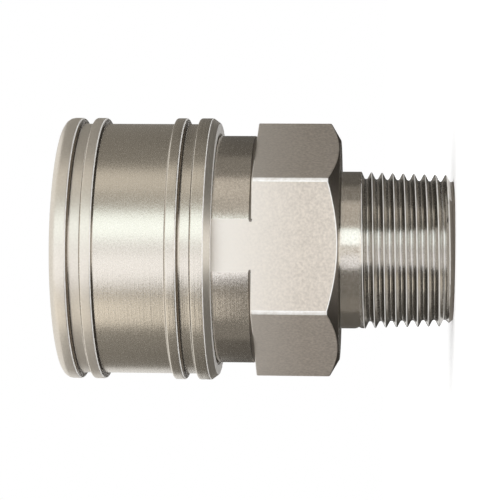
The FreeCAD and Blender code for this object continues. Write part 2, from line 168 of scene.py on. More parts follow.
def turned_steel(name, dark, light, smooth, rough, relief, metal=1.0):
    """Rings and grain move the bump. The grain also moves the roughness and, a little, the colour."""
    steel, tree, shader = new_finish(name, {"Metallic": metal, "Anisotropic": 0.2})
    place = add_node(tree, "ShaderNodeTexCoord").outputs["Object"]
    split = add_node(tree, "ShaderNodeSeparateXYZ", links={"Vector": place}).outputs
    flat = add_node(tree, "ShaderNodeCombineXYZ", links={"X": split["X"], "Y": split["Y"]}).outputs["Vector"]
    radius = add_node(tree, "ShaderNodeVectorMath", {"operation": "LENGTH"}, {0: flat}).outputs["Value"]
    lay = add_node(tree, "ShaderNodeCombineXYZ", links={"X": radius, "Y": split["Z"]}).outputs["Vector"]
    rings = add_node(
        tree, "ShaderNodeTexNoise", {"noise_dimensions": "2D", "Scale": 1 / FEED_MARK}, {"Vector": lay}
    ).outputs[0]
    grain = add_node(
        tree, "ShaderNodeTexNoise", {"Scale": 1 / SATIN_GRAIN, "Detail": 3.0}, {"Vector": place}
    ).outputs[0]
    marks = add_node(tree, "ShaderNodeMath", {"operation": "ADD"}, {0: rings, 1: grain})
    tint = add_node(tree, "ShaderNodeMix", {"data_type": "RGBA", 6: srgb(dark), 7: srgb(light)}, {0: grain})
    sheen = add_node(tree, "ShaderNodeMapRange", {"To Min": smooth, "To Max": rough}, {"Value": grain})
    bump = add_node(tree, "ShaderNodeBump", {"Distance": relief}, {"Height": marks.outputs[0]})
    tangent = add_node(tree, "ShaderNodeTangent", {"direction_type": "RADIAL", "axis": "Z"})
    tree.links.new(tint.outputs[2], shader.inputs["Base Color"])
    tree.links.new(sheen.outputs[0], shader.inputs["Roughness"])
    tree.links.new(bump.outputs[0], shader.inputs["Normal"])
    tree.links.new(tangent.outputs[0], shader.inputs["Tangent"])
    return steel


# Tumbled: soft bands, with faint rings and grain.
TURNED = turned_steel("stainless_steel_turned", "c6beb0", "ddd6ca", 0.2, 0.32, 0.011 * MM)
# Cut clean: crisp bands with a faint mottle.
FINE = turned_steel("stainless_steel_fine_cut", "b8b0a4", "ebe4d9", 0.13, 0.23, 0.0035 * MM)
# Rubbed: wide, veiled bands.
RUBBED = turned_steel("stainless_steel_rubbed", "cac2b5", "e1dace", 0.3, 0.42, 0.009 * MM, 0.88)
print("finishes:", TURNED.name, FINE.name, RUBBED.name)

# %% [markdown]
# ## Drawn flats
# The six flats are the skin of the drawn hexagon bar. They never meet the turning tool, so they have no
# rings, only an even, dull grain that spreads reflections wide: each flat shows nearly one tone from edge
# to edge. Two of them run on up the guide. Towards the sleeve the flats' colour turns lighter, which is
# painted light. An image of real bar could give the grain, but a noise needs no picture and never repeats.
# The real grain is finer than a pixel, and is drawn coarse enough to show.

# %% Hexagon flat finish
FLAT_GRAIN = 0.45 * MM
FLAT_SMOOTH, FLAT_ROUGH, FLAT_RELIEF = 0.54, 0.7, 0.012 * MM
# The range that most of a noise falls in.
NOISE_LOW, NOISE_HIGH = 0.3, 0.7
# The lightest colour is painted light, which the flats reach towards the sleeve, between the heights below.
SKIN_DARK, SKIN_LIGHT, PAINTED_LIGHT_SKIN = srgb("cfc5ba"), srgb("e9e0d5"), srgb("f1ebe3")
PAINTED_LIGHT_FROM, PAINTED_LIGHT_TO = 25 * MM, 38 * MM


def drawn_flats():
    """An even grain without any lay, rougher than the turned faces, and with painted light that makes it
    lighter towards the sleeve.
    """
    steel, tree, shader = new_finish("stainless_steel_drawn", {"Metallic": 1.0})
    place = add_node(tree, "ShaderNodeTexCoord").outputs["Object"]
    height = add_node(tree, "ShaderNodeSeparateXYZ", links={"Vector": place}).outputs["Z"]
    grain = add_node(
        tree, "ShaderNodeTexNoise", {"Scale": 1 / FLAT_GRAIN, "Detail": 4.0}, {"Vector": place}
    ).outputs[0]
    speckle = add_node(
        tree, "ShaderNodeMapRange", {"From Min": NOISE_LOW, "From Max": NOISE_HIGH}, {"Value": grain}
    )
    skin = add_node(
        tree, "ShaderNodeMix", {"data_type": "RGBA", 6: SKIN_DARK, 7: SKIN_LIGHT}, {0: speckle.outputs[0]}
    )
    # Painted light: the colour grows lighter with height, towards the sleeve.
    painted_light = add_node(
        tree, "ShaderNodeMapRange", {"From Min": PAINTED_LIGHT_FROM, "From Max": PAINTED_LIGHT_TO}, {"Value": height}
    )
    tint = add_node(
        tree, "ShaderNodeMix", {"data_type": "RGBA", 7: PAINTED_LIGHT_SKIN}, {0: painted_light.outputs[0], 6: skin.outputs[2]}
    )
    sheen = add_node(
        tree, "ShaderNodeMapRange", {"To Min": FLAT_SMOOTH, "To Max": FLAT_ROUGH}, {"Value": grain}
    )
    bump = add_node(tree, "ShaderNodeBump", {"Distance": FLAT_RELIEF}, {"Height": grain})
    tree.links.new(tint.outputs[2], shader.inputs["Base Color"])
    tree.links.new(sheen.outputs[0], shader.inputs["Roughness"])
    tree.links.new(bump.outputs[0], shader.inputs["Normal"])
    return steel


# Drawn through a die: one dull tone to each flat.
DRAWN = drawn_flats()
print("finish:", DRAWN.name)

# %% [markdown]
# ## Small parts' finishes
# The spring is drawn wire, with a greyer skin. The stop ring is stamped from spring strip. The balls are
# ground and polished bearing steel, almost a mirror. The seal is moulded nitrile rubber: black, with a
# dull bloom. Each could have a pattern of its own, but they are small and half hidden, so in all of them
# one noise moves colour, roughness and bump. Its grain is several times the real one, a few hundredths of
# a millimetre, so that it shows.

# %% Small parts' finishes
def mottled(name, settings, dark, light, grain, smooth, rough, relief):
    """A finish whose one noise, of a given grain, runs from dark and smooth to light and rough."""
    material, tree, shader = new_finish(name, settings)
    place = add_node(tree, "ShaderNodeTexCoord").outputs["Object"]
    noise = add_node(
        tree, "ShaderNodeTexNoise", {"Scale": 1 / grain, "Detail": 4.0}, {"Vector": place}
    ).outputs[0]
    tint = add_node(tree, "ShaderNodeMix", {"data_type": "RGBA", 6: srgb(dark), 7: srgb(light)}, {0: noise})
    sheen = add_node(tree, "ShaderNodeMapRange", {"To Min": smooth, "To Max": rough}, {"Value": noise})
    bump = add_node(tree, "ShaderNodeBump", {"Distance": relief}, {"Height": noise})
    tree.links.new(tint.outputs[2], shader.inputs["Base Color"])
    tree.links.new(sheen.outputs[0], shader.inputs["Roughness"])
    tree.links.new(bump.outputs[0], shader.inputs["Normal"])
    return material


METAL, NITRILE = {"Metallic": 1.0}, {"IOR": 1.52}
# Drawn through a die: grey and half dull.
WIRE = mottled("spring_steel_drawn", METAL, "8d8a85", "b4b1ab", 0.5 * MM, 0.25, 0.42, 0.006 * MM)
# Stamped and deburred: a little lighter.
STRIP = mottled("spring_steel_stamped", METAL, "a6a19a", "c4bfb7", 0.4 * MM, 0.26, 0.4, 0.006 * MM)
# Ground and polished: small, sharp highlights.
BALL = mottled("bearing_steel_polished", METAL, "cfcdc9", "e0deda", 0.8 * MM, 0.06, 0.12, 0.001 * MM)
# Moulded: black, without a sharp highlight.
RUBBER = mottled("nitrile_rubber_moulded", NITRILE, "161615", "242422", 0.3 * MM, 0.5, 0.66, 0.01 * MM)
print("finishes:", *(finish.name for finish in (WIRE, STRIP, BALL, RUBBER)))

# %% [markdown]
# ## Painted shade, painted highlights and torn steel
# Some of these finishes paint light and shade into the colour. The hexagon's lower chamfer, the relief
# groove and the thread's end chamfer get painted shade: a dark colour, and dull from a higher roughness.
# The walls beside the ribs, cut by a form tool, are smoother and get painted shade too. The thread is torn
# a little by the cut. And the edges and the thread's crests get a painted highlight, a white line from any
# side. A metal shader can't look white from every side, so this one is mostly diffuse. The edges could be
# masked by a pointiness node, but faces that are chosen by their place stay where they belong.

# %% Painted shade, painted highlights and torn steel
# Tool marks and grain of a few hundredths of a millimetre are drawn about ten times as coarse, to show.
# Painted shade: a dark colour, and dull from its roughness.
PAINTED_SHADE_STEEL = mottled("stainless_steel_painted_shade", METAL, "756e65", "978f85", 0.3 * MM, 0.42, 0.58, 0.01 * MM)
# Painted shade beside the ribs, which are form-cut: a dark colour, with a soft sheen.
RIB_PAINTED_SHADE_STEEL = mottled("stainless_steel_form_cut_painted_shade", METAL, "9a9288", "b8b0a6", 0.3 * MM, 0.18, 0.3, 0.01 * MM)
# Torn by the cut: narrow, broken glints.
TORN = mottled("stainless_steel_torn", METAL, "b9b5ae", "d8d4ce", 0.3 * MM, 0.14, 0.24, 0.006 * MM)
# Painted highlight: a white line from any side, because only a quarter of it shines like metal.
MOSTLY_DIFFUSE = {"Metallic": 0.25}
PAINTED_HIGHLIGHT_STEEL = mottled("stainless_steel_painted_highlight", MOSTLY_DIFFUSE, "cdc7bd", "ffffff", 0.7 * MM, 0.3, 0.45, 0.006 * MM)
print("finishes:", *(finish.name for finish in (PAINTED_SHADE_STEEL, RIB_PAINTED_SHADE_STEEL, TORN, PAINTED_HIGHLIGHT_STEEL)))

# %% [markdown]
# ## Turning in Blender
# A lathe turns a profile round an axis, and spin does the same to an outline drawn in one half plane.
# Real turned edges are never razor sharp: each is broken by a chamfer or a small round, and that narrow
# band catches the light as the bright line that shows along every rib. So each corner of an outline
# carries its own round, in millimetres. A screw modifier would turn the outline too, but the cuts that
# follow need a finished mesh.

# %% Outline and lathe
SEGMENTS = 192
ROUND_STEPS = 4


def rounded(corners):
    """Outline points of corners (radius, height, round), with each round drawn as an arc."""
    outline = []
    for index, (radius, height, size) in enumerate(corners):
        corner = Vector((radius, height))
        back = (Vector(corners[index - 1][:2]) - corner).normalized()
        ahead = (Vector(corners[(index + 1) % len(corners)][:2]) - corner).normalized()
        if not size:
            outline.append(corner)
            continue
        half = back.angle(ahead) / 2
        centre = corner + (back + ahead).normalized() * (size / math.sin(half))
        start = corner + back * (size / math.tan(half)) - centre
        end = corner + ahead * (size / math.tan(half)) - centre
        outline += [centre + start.slerp(end, step / ROUND_STEPS) * size for step in range(ROUND_STEPS + 1)]
    return outline


def spun(outline, turn=math.tau):
    """A closed outline in millimetres, spun about the upright axis."""
    shape = bmesh.new()
    points = [shape.verts.new((radius * MM, 0, height * MM)) for radius, height in outline]
    lines = [shape.edges.new((points[index - 1], points[index])) for index in range(len(points))]
    whole = turn == math.tau
    bmesh.ops.spin(
        shape, geom=points + lines, axis=(0, 0, 1), cent=(0, 0, 0), angle=turn, steps=SEGMENTS,
        use_merge=whole,
    )
    bmesh.ops.recalc_face_normals(shape, faces=shape.faces)
    return shape


print("lathe:", SEGMENTS, "segments to a turn,", ROUND_STEPS, "steps to a round")

# %% From shape to piece
CRISP_FROM = 35


def refinish(shape, finish, chosen):
    """Gives another finish to the faces that a test of normal, radius and height in mm chooses."""
    count = 0
    for face in shape.faces:
        middle = face.calc_center_median() / MM
        if chosen(face.normal, middle.xy.length, middle.z):
            face.material_index = finish
            count += 1
    return count


def finished(name, shape, body, node, slot, *finishes):
    """Makes an object with smooth walls and crisp edges, which stands for a node of the frame."""
    mesh = bpy.data.meshes.new(name)
    shape.to_mesh(mesh)
    shape.free()
    mesh.shade_smooth()
    mesh.set_sharp_from_angle(angle=math.radians(CRISP_FROM))
    for finish in finishes:
        mesh.materials.append(finish)
    piece = bpy.data.objects.new(name, mesh)
    bpy.context.scene.collection.objects.link(piece)
    weigh = piece.modifiers.new("even_shading", "WEIGHTED_NORMAL")
    weigh.keep_sharp = True
    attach(piece, body)
    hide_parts(node)
    print(name, "has", len(mesh.polygons), "faces")
    return piece


print("edges of more than", CRISP_FROM, "degrees stay crisp")

# %% [markdown]
# ## The sleeve
# The sleeve is what the hand pulls. Two pairs of ribs give the grip. Inside, a land holds the balls in, a
# wider recess lets them out, a shoulder meets the stop ring and a long bore clears the spring. Ribs could
# be set on a plain tube, but a lathe cuts them from the solid, so all of it is one outline.

# %% Sleeve outline
sleeve_low, sleeve_high = (corner / MM for corner in map(Vector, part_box("sleeve")))
RIB, REAR, FRONT = sleeve_high.x, sleeve_low.z, sleeve_high.z
RIB_HEIGHT, RIB_WIDTH, RIB_GAP = 1.0, 1.9, 2.2
FRONT_RIB, REAR_RIB = 2.9, 3.3
EDGE, FOOT, GAP_FOOT, FRONT_ROUND = 0.3, 0.3, 0.6, 1.4
REAR_CHAMFER, REAR_CHAMFER_LENGTH = 0.85, 1.15
BARREL = RIB - RIB_HEIGHT


def rib(foot, top, foot_round):
    """The four corners of one rib, from its lower foot to its upper foot."""
    return [(BARREL, foot, foot_round), (RIB, foot, EDGE), (RIB, top, EDGE), (BARREL, top, FOOT)]


rear_top = REAR + REAR_RIB
front_foot = FRONT - FRONT_RIB
outside = [
    (RIB - REAR_CHAMFER, REAR, 0.2), (RIB, REAR + REAR_CHAMFER_LENGTH, EDGE), (RIB, rear_top, EDGE),
    (BARREL, rear_top, FOOT),
]
outside += rib(rear_top + RIB_GAP, rear_top + RIB_GAP + RIB_WIDTH, GAP_FOOT)
FRONT_PAIR = front_foot - RIB_GAP - RIB_WIDTH
outside += rib(FRONT_PAIR, front_foot - RIB_GAP, FOOT)
outside += [(BARREL, front_foot, GAP_FOOT), (RIB, front_foot, EDGE), (RIB, FRONT, FRONT_ROUND)]
print("sleeve outside:", len(outside), "corners")

# %% Sleeve bore
ring_low, ring_high = (corner / MM for corner in map(Vector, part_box("stop_ring")))
ball_low, ball_high = (corner / MM for corner in map(Vector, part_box("locking_ball_01")))
ball_centre, ball_radius = (ball_low + ball_high) / 2, (ball_high.z - ball_low.z) / 2
RUNNING_GAP, BALL_PLAY, RELEASE_ROOM, RING_ROOM = 0.05, 0.3, 1.35, 0.35
SLEEVE_WALL, LAND_COVER, LAND_BACK, CHAMFER = 1.95, 0.9, 2.8, 0.4
LAND, RELEASE = ball_high.x + BALL_PLAY, ball_high.x + RELEASE_ROOM
COUNTERBORE, SPRING_BORE = ring_high.x + RING_ROOM, BARREL - SLEEVE_WALL
SHOULDER = ring_low.z - RUNNING_GAP
LAND_TOP, LAND_FOOT = ball_centre.z + LAND_COVER, ball_centre.z - LAND_BACK
bore = [
    (COUNTERBORE + CHAMFER, FRONT, 0.12), (COUNTERBORE, FRONT - CHAMFER, 0.12), (COUNTERBORE, SHOULDER, 0.05),
    (RELEASE, SHOULDER, 0.08), (RELEASE, LAND_TOP + RELEASE - LAND, 0.1), (LAND, LAND_TOP, 0.1),
    (LAND, LAND_FOOT, 0.08), (SPRING_BORE, LAND_FOOT, 0.05), (SPRING_BORE, REAR + CHAMFER, 0.12),
    (SPRING_BORE + CHAMFER, REAR, 0.12),
]
sleeve_shape = spun(rounded(bore + outside))
print("sleeve bore:", round(2 * LAND, 2), "mm at the land,", round(2 * SPRING_BORE, 2), "mm round the spring")

# %% [markdown]
# ## The sleeve's finishes
# The ribs' edges on the side of the thread and the face at the rear end get a painted highlight, and
# fingers rub the front ribs and the rear chamfer. The walls beside the ribs get painted shade. Masks could
# be painted on, but each of these places is known by its radius, its height and the way it faces, so a
# test picks its faces.

# %% Sleeve finishes
# How far a face may lie from the measure that it is looked for at, in millimetres.
SLACK = 0.01


def beside_rib(normal, radius, height):
    """Rib walls and feet, which get painted shade."""
    wall = abs(normal.z) > 0.5 and BARREL - SLACK < radius < RIB - EDGE
    return wall and REAR + 1.2 < height < FRONT - FRONT_ROUND


def rear_chamfer(normal, radius, height):
    """The chamfer at the rear end."""
    return -0.8 < normal.z < -0.4 and radius > BARREL and height < REAR + 1.1


def highlit_edge(normal, radius, height):
    """The ribs' edges on the side of the thread, and the face at the rear end, which get a painted highlight.
    """
    rear_end = normal.z < -0.9 and height < REAR + 0.2
    return rear_end or (-0.9 < normal.z < -0.2 and RIB - EDGE < radius and height > REAR + 1)


def front_pair(normal, radius, height):
    """The two front ribs and the gap between them, with the round at the front end."""
    front_round = normal.z > 0.05 and radius > RIB - 1.3 and height > FRONT - FRONT_ROUND
    return front_round or (abs(normal.z) < 0.3 and radius > BARREL - SLACK and height > FRONT_PAIR)


SLEEVE_FINISHES = (TURNED, RIB_PAINTED_SHADE_STEEL, RUBBED, PAINTED_HIGHLIGHT_STEEL)
SLEEVE_PLACES = ((RIB_PAINTED_SHADE_STEEL, beside_rib), (RUBBED, rear_chamfer), (PAINTED_HIGHLIGHT_STEEL, highlit_edge), (RUBBED, front_pair))
for finish, chosen in SLEEVE_PLACES:
    count = refinish(sleeve_shape, SLEEVE_FINISHES.index(finish), chosen)
    print(chosen.__name__, "has", count, "faces of", finish.name)
finished("ribbed_sleeve", sleeve_shape, "sleeve", "sleeve", "satin_steel", *SLEEVE_FINISHES)

# %% [markdown]
# ## The body, turned from hexagon bar
# The body is one piece of bar. On the lathe it gets its neck, the chamfer on the hexagon, the guide for
# the sleeve, the ball carrier and the stepped bore. The flats are what the lathe leaves of the bar, so
# here too the round profile comes first and plane cuts leave the flats. A hexagonal prism with the
# chamfer cut into it would do, but its arcs would have to be worked out, and the plane cuts make them by
# themselves. Six flats end at the hexagon's upper face and only two run on up the guide, so the hexagon
# and the guide are turned apart and joined.

# %% Hexagon outline
_, body_high = (corner / MM for corner in map(Vector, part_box("socket_body")))
FLAT, EDGES, NOSE = body_high.y, body_high.x, body_high.z
THREAD_LENGTH, NECK_LENGTH, HEX_LENGTH, GUIDE_LENGTH = 15.7, 3.55, 14.25, 10.0
GAUGE_RADIUS, GAUGE_LENGTH, TAPER, PITCH = 26.441 / 2, 9.5, 1 / 32, 1.814
# A 55 degree form is 0.64 of its pitch deep.
THREAD_DEPTH = 0.64 * PITCH
WOUND_NECK = 2.2
WOUND_LENGTH = THREAD_LENGTH + WOUND_NECK
thread_foot = GAUGE_RADIUS - GAUGE_LENGTH * TAPER
thread_top = thread_foot + THREAD_LENGTH * TAPER
HEX_FOOT = THREAD_LENGTH + NECK_LENGTH
GUIDE_FOOT = HEX_FOOT + HEX_LENGTH
SEAT = GUIDE_FOOT + GUIDE_LENGTH
NECK_STEP, FLOW, FLOW_CHAMFER = 0.05, 8.5, 0.6
CHAMFER_INSET, CHAMFER_SLOPE, OVERSIZE = 0.2, math.radians(30), 0.8
NECK = thread_top + NECK_STEP
BLANK = EDGES + OVERSIZE
chamfer_foot = FLAT - CHAMFER_INSET
chamfer_rise = (BLANK - chamfer_foot) * math.tan(CHAMFER_SLOPE)
hexagon_outline = [
    (thread_foot - THREAD_DEPTH, 0, 0), (NECK, WOUND_LENGTH, 0), (NECK, HEX_FOOT, 0.25),
    (chamfer_foot, HEX_FOOT, 0.1), (BLANK, HEX_FOOT + chamfer_rise, 0), (BLANK, GUIDE_FOOT, 0),
    (FLOW, GUIDE_FOOT, 0), (FLOW, FLOW_CHAMFER, 0.1), (FLOW + FLOW_CHAMFER, 0, 0),
]
hexagon_shape = spun(rounded(hexagon_outline))
print("hexagon", round(2 * FLAT, 2), "mm across flats, from", HEX_FOOT, "to", GUIDE_FOOT, "mm")

# %% Guide, nose and bore outline
seal_low, seal_high = (corner / MM for corner in map(Vector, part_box("plug_seal")))
GUIDE, CARRIER = SPRING_BORE - RUNNING_GAP, LAND - RUNNING_GAP
RELIEF_DEPTH, RELIEF_WIDTH, WAIST_DEPTH, GROOVE_DEPTH = 0.1, 0.3, 0.55, 0.8
MOUTH, NOSE_BORE, MOUTH_CHAMFER, NOSE_CHAMFER = 14.1, 11.05, 1.0, 0.5
MOUTH_ROOM, SEAL_PLAY, SEAL_ROOM, NOSE_ROOM = 2.55, 0.02, 0.4, 4.4
RELIEF, RELIEF_TOP = GUIDE - RELIEF_DEPTH, GUIDE_FOOT + RELIEF_WIDTH
WAIST, WAIST_TOP = CARRIER - WAIST_DEPTH, LAND_FOOT - RUNNING_GAP
GROOVE_FLOOR, RING_TOP = CARRIER - GROOVE_DEPTH, ring_high.z + RUNNING_GAP
MOUTH_FLOOR = ball_centre.z - ball_radius - MOUTH_ROOM
SEAL_FLOOR = seal_high.x + SEAL_PLAY
SEAL_TOP, SEAL_FOOT = seal_high.z + SEAL_ROOM, seal_low.z - SEAL_ROOM
NOSE_FLOOR = SEAL_FOOT - NOSE_ROOM
guide_outline = [
    (RELIEF, GUIDE_FOOT, 0), (RELIEF, RELIEF_TOP, 0.04), (GUIDE, RELIEF_TOP + RELIEF_DEPTH, 0.04),
    (GUIDE, SEAT, 0.15), (WAIST, SEAT, 0.1), (WAIST, WAIST_TOP - WAIST_DEPTH, 0), (CARRIER, WAIST_TOP, 0),
    (CARRIER, SHOULDER, 0.06), (GROOVE_FLOOR, SHOULDER, 0.06), (GROOVE_FLOOR, RING_TOP, 0.06),
    (CARRIER, RING_TOP, 0.06), (CARRIER, NOSE - NOSE_CHAMFER, 0.12), (CARRIER - NOSE_CHAMFER, NOSE, 0.12),
    (MOUTH + MOUTH_CHAMFER, NOSE, 0.15), (MOUTH, NOSE - MOUTH_CHAMFER, 0.2), (MOUTH, MOUTH_FLOOR, 0.2),
    (NOSE_BORE + CHAMFER, MOUTH_FLOOR, 0.1), (NOSE_BORE, MOUTH_FLOOR - CHAMFER, 0.1),
    (NOSE_BORE, SEAL_TOP, 0.06), (SEAL_FLOOR, SEAL_TOP, 0.1), (SEAL_FLOOR, SEAL_FOOT, 0.1),
    (NOSE_BORE, SEAL_FOOT, 0.06), (NOSE_BORE, NOSE_FLOOR, 0.2),
    (FLOW, NOSE_FLOOR - NOSE_BORE + FLOW, 0.3), (FLOW, GUIDE_FOOT, 0),
]
guide_shape = spun(rounded(guide_outline))
print("guide", round(2 * GUIDE, 2), "mm across, nose at", round(NOSE, 2), "mm")

# %% [markdown]
# ## Flats and blunt edges
# Drawn bar has blunt edges, and here their faces carry a painted highlight that shows as white lines. A
# bevel on the six edges would meet the chamfer's arcs in crowded corners. So the edges are cut as well: one
# more plane between two flats, as far out as the frame's body reaches. The arcs and the upper rim get a
# small bevel afterwards, except where a flat runs on up the guide. The arcs of the two long flats get the
# same painted highlight as the edges. The other rims stay like the flats.

# %% Six flats
# Two of the body's finishes are painted shade and a painted highlight.
BODY_FINISHES = (TURNED, DRAWN, PAINTED_SHADE_STEEL, FINE, PAINTED_HIGHLIGHT_STEEL, TORN)
SKIN, PAINTED_SHADE, CLEAN_CUT, PAINTED_HIGHLIGHT, RAGGED = range(1, len(BODY_FINISHES))


def cut_plane(shape, degrees, distance, finish):
    """Cuts off what lies beyond an upright plane and closes the cut with a face of the given finish."""
    outward = Vector((math.cos(math.radians(degrees)), math.sin(math.radians(degrees)), 0))
    everything = shape.verts[:] + shape.edges[:] + shape.faces[:]
    bmesh.ops.bisect_plane(
        shape, geom=everything, plane_co=outward * distance * MM, plane_no=outward, clear_outer=True
    )
    rim = [edge for edge in shape.edges if edge.is_boundary]
    for face in bmesh.ops.holes_fill(shape, edges=rim, sides=0)["faces"]:
        face.material_index = finish


for side in range(6):
    cut_plane(hexagon_shape, 30 + 60 * side, FLAT, SKIN)
# The faces that blunt the edges get the painted highlight.
for side in range(6):
    cut_plane(hexagon_shape, 60 * side, EDGES, PAINTED_HIGHLIGHT)
for side in (90, 270):
    cut_plane(guide_shape, side, FLAT, SKIN)
land = 2 * (FLAT / math.cos(math.radians(30)) - EDGES) * math.tan(math.radians(60))
print("hexagon cut, edges blunted to", round(land, 2), "mm")

# %% Rim of the hexagon
RIM_ROUND = 0.2
guide_flat = math.sqrt(GUIDE**2 - FLAT**2)


def rim_edges(shape):
    """The chamfer's arcs and the upper rim, without the stretches that the guide's flats continue."""
    edges = []
    for edge in shape.edges:
        middle = (edge.verts[0].co + edge.verts[1].co) / 2 / MM
        outer = middle.xy.length > chamfer_foot - 0.05 and middle.z > HEX_FOOT - 0.1
        flat_top = abs(middle.y) > FLAT - SLACK and middle.z > GUIDE_FOOT - SLACK
        continued = flat_top and abs(middle.x) < guide_flat + 0.3
        if outer and not continued and edge.is_convex and edge.calc_face_angle(0) > math.radians(40):
            edges.append(edge)
    return edges


rim = rim_edges(hexagon_shape)
# The bevel's faces get the painted highlight.
bmesh.ops.bevel(
    hexagon_shape, geom=rim, offset=RIM_ROUND * MM, segments=2, profile=0.5, affect="EDGES", material=PAINTED_HIGHLIGHT
)
print("rim:", len(rim), "edges broken")

# %% [markdown]
# ## Ball holes
# Twelve holes are drilled through the carrier from outside and stop just short of the mouth, which leaves
# a conical lip that keeps each ball from dropping out. One spun cutter, copied round the axis, takes all
# of them out at once with a boolean. A knife project would be lighter, but it would leave no walls in the
# holes.

# %% Ball holes
BALL_COUNT = sum(name.startswith("locking_ball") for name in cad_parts)
HOLE = ball_radius + RUNNING_GAP
SAME_SPOT = 1e-7
ball_proud = MOUTH - ball_low.x
LIP = math.sqrt(2 * ball_radius * ball_proud - ball_proud**2) + RUNNING_GAP
LIP_SLOPE = (ball_radius - ball_proud) / (LIP - RUNNING_GAP)
DRILL_START = CARRIER + 3
drill = [
    (0, MOUTH - LIP / 2, 0), (LIP * (1 - LIP_SLOPE / 2), MOUTH - LIP / 2, 0),
    (HOLE, MOUTH + (HOLE - LIP) / LIP_SLOPE, 0), (HOLE, DRILL_START, 0), (0, DRILL_START, 0),
]


def drills():
    """All the drills as one mesh: a drill spun upright, tipped over and copied round the axis."""
    cutters = bpy.data.meshes.new("drills")
    one = spun(rounded(drill))
    bmesh.ops.remove_doubles(one, verts=one.verts, dist=SAME_SPOT)
    bmesh.ops.recalc_face_normals(one, faces=one.faces)
    one.to_mesh(cutters)
    one.free()
    ring = bmesh.new()
    for index in range(BALL_COUNT):
        tipped = cutters.copy()
        turn = Matrix.Rotation(math.tau * index / BALL_COUNT, 4, "Z") @ Matrix.Rotation(math.pi / 2, 4, "Y")
        tipped.transform(Matrix.Translation((0, 0, ball_centre.z * MM)) @ turn)
        ring.from_mesh(tipped)
        bpy.data.meshes.remove(tipped)
    bpy.data.meshes.remove(cutters)
    return ring


print("drill:", round(2 * HOLE, 3), "mm across, lip", round(2 * LIP, 3), "mm")

# %% Drilling and joining
def as_object(name, shape):
    """A plain object of a shape, for a boolean to work on."""
    mesh = bpy.data.meshes.new(name)
    shape.to_mesh(mesh)
    shape.free()
    for finish in BODY_FINISHES:
        mesh.materials.append(finish)
    thing = bpy.data.objects.new(name, mesh)
    bpy.context.scene.collection.objects.link(thing)
    return thing


def combined(blank, tools):
    """The blank joined with or cut by other objects, as a new shape. The objects are used up."""
    for tool, operation in tools:
        step = blank.modifiers.new(tool.name, "BOOLEAN")
        step.object, step.operation, step.solver = tool, operation, "EXACT"
    result = bmesh.new()
    result.from_object(blank, bpy.context.evaluated_depsgraph_get())
    for thing in [blank] + [tool for tool, operation in tools]:
        bpy.data.objects.remove(thing)
    return result


hexagon_blank, guide_blank = as_object("hexagon_blank", hexagon_shape), as_object("guide_blank", guide_shape)
body_shape = combined(hexagon_blank, [(guide_blank, "UNION"), (as_object("drills", drills()), "DIFFERENCE")])
print("joined and drilled:", len(body_shape.faces), "faces,", BALL_COUNT, "holes")

# %% [markdown]
# ## The taper thread
# A pipe thread is a V groove wound round a cone. Rings stacked like washers look much the same from the
# side, but the crests of a real thread climb as they go round: above and below the axis they are half a
# pitch apart. So the rows of this mesh are helices. Each row climbs one pitch per turn and meets the row
# one pitch above it at the seam. Rows that would pass an end are held at that end, and the chamfer cuts
# the first turn down. The last turn of the groove bites into the neck and ends where the tool was drawn
# back, below the neck in the photograph's view. Turns are counted from the last groove on the
# photograph's side. The crests get a painted highlight, and the rest is as the cut left it.

# %% Thread form
CREST_ROUND, ROOT_ROUND = 0.16, 0.338
FLANK = math.radians(90 - 55 / 2)
FORM_STEPS = 6
# The faces of each crest that get a painted highlight.
CREST_ROWS = range(2, FORM_STEPS - 2)
# The tool is drawn back after the last turn, over a part of a turn, until it is clear of the metal.
LAST_TURN, DRAWN_BACK, OUT_OF_CUT = 0.67, 0.13, 0.2
# The photograph's side, as a part of a turn from +X.
NEAR_SIDE = 0.75
# On that side the last root lies half a pitch and this much below the thread's upper end.
RUN_OUT = 0.27
LAST_ROOT = THREAD_LENGTH - PITCH / 2 - RUN_OUT
TURNS_BELOW, TURNS_ABOVE = 10, 4


def form_points():
    """One pitch of a 55 degree form with sharp crests and round roots: places along it, with their depths."""
    angles = [FLANK * (2 * step / FORM_STEPS - 1) for step in range(FORM_STEPS + 1)]
    crests = [(CREST_ROUND * math.sin(a), CREST_ROUND * (1 - math.cos(a))) for a in angles]
    roots = [(ROOT_ROUND * math.sin(a), ROOT_ROUND * (1 - math.cos(a))) for a in angles]
    return crests + [(PITCH / 2 + along, THREAD_DEPTH - rise) for along, rise in roots]


def thread_radius(height, depth, turns):
    """Radius at a height: the cone or the neck, less the groove, cut down by the end chamfer."""
    drawn_back = min(1.0, max(0.0, (turns - LAST_TURN) / DRAWN_BACK))
    onto_neck = min(1.0, max(0.0, 1 + (height - THREAD_LENGTH) / PITCH))
    bar = min(NECK, thread_foot + height * TAPER + onto_neck * (NECK - thread_top))
    groove = thread_foot + height * TAPER - depth + drawn_back * (THREAD_DEPTH + OUT_OF_CUT)
    return min(bar, groove, thread_foot - THREAD_DEPTH + height)


print("thread form:", [(round(along, 2), round(depth, 2)) for along, depth in form_points()])

